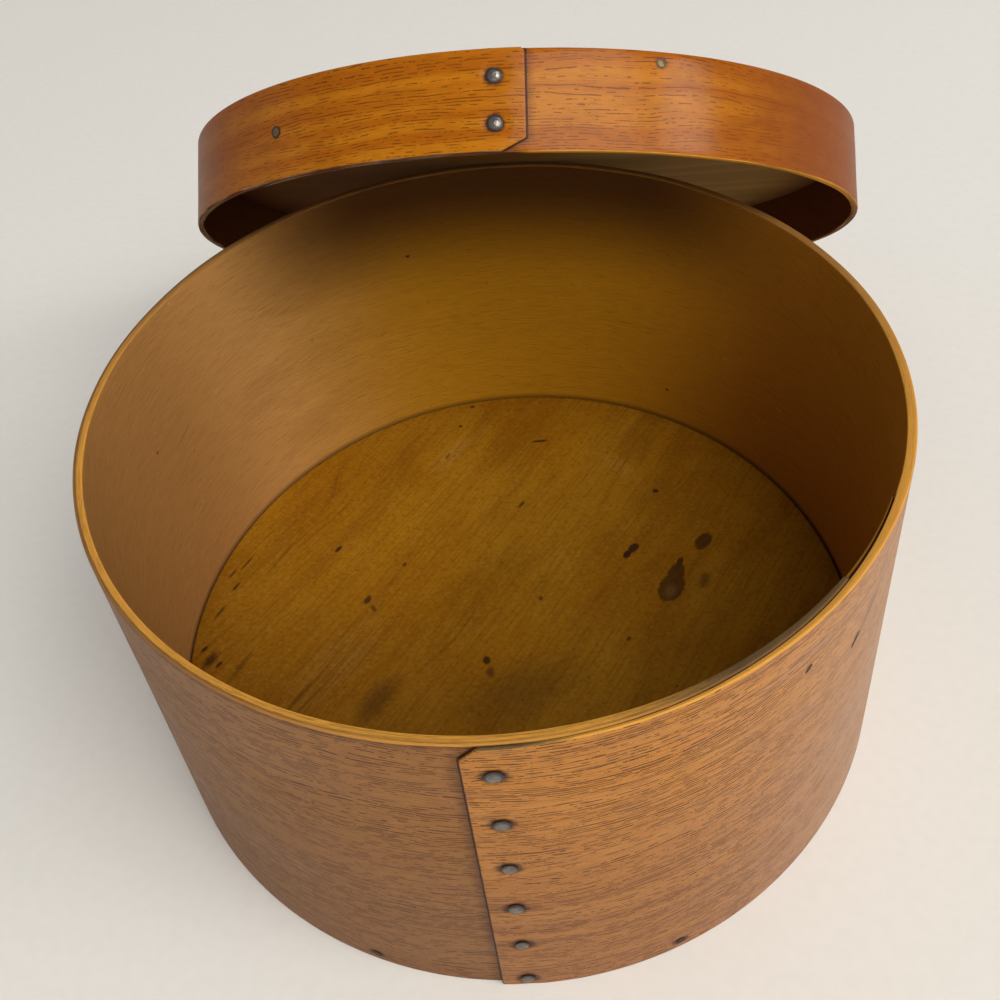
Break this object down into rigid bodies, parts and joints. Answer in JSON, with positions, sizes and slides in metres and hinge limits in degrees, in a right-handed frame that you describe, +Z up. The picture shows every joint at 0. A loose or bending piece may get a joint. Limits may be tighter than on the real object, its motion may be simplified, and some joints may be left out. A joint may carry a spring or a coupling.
{
  "type": "bentwood pantry box",
  "caption": "Round lidded storage box of thin bent wood, its lapped walls held by a column of tacks; shown open, with the shallow lid leaning on the rear rim.",
  "frame": {"origin": "centre of the box's underside, on the surface it stands on", "axes": "+Z up along the box's axis; the lid leans at the back, towards +Y; the lap's tacks face -Y"},
  "size_m": [0.2488, 0.3505, 0.1989],
  "materials": {
    "box_band": "worn oiled hardwood",
    "box_base": "stained bare pine",
    "lid_band": "glossy amber varnish",
    "lid_board": "bare greyed pine",
    "tack_steel": "dull worn steel",
    "nail_iron": "dark flush iron"
  },
  "bodies": {
    "box": {"box_band": "box_band", "box_base": "box_base", "box_lap_tack_1": "tack_steel", "box_lap_tack_2": "tack_steel", "box_lap_tack_3": "tack_steel", "box_lap_tack_4": "tack_steel", "box_lap_tack_5": "tack_steel", "box_lap_tack_6": "tack_steel", "box_base_nail_1": "nail_iron", "box_base_nail_2": "nail_iron", "box_base_nail_3": "nail_iron", "box_base_nail_4": "nail_iron", "box_base_nail_5": "nail_iron", "box_base_nail_6": "nail_iron"},
    "lid": {"lid_band": "lid_band", "lid_board": "lid_board", "lid_end_nail": "nail_iron", "lid_lap_tack_1": "tack_steel", "lid_lap_tack_2": "tack_steel", "lid_board_nail_1": "nail_iron", "lid_board_nail_2": "nail_iron", "lid_board_nail_3": "nail_iron"}
  },
  "joints": [
    {"name": "lid_lift", "type": "slide", "parent": "box", "child": "lid", "axis": [0, 0.7133, 0.7009], "range_m": [0, 0.15]}
  ]
}
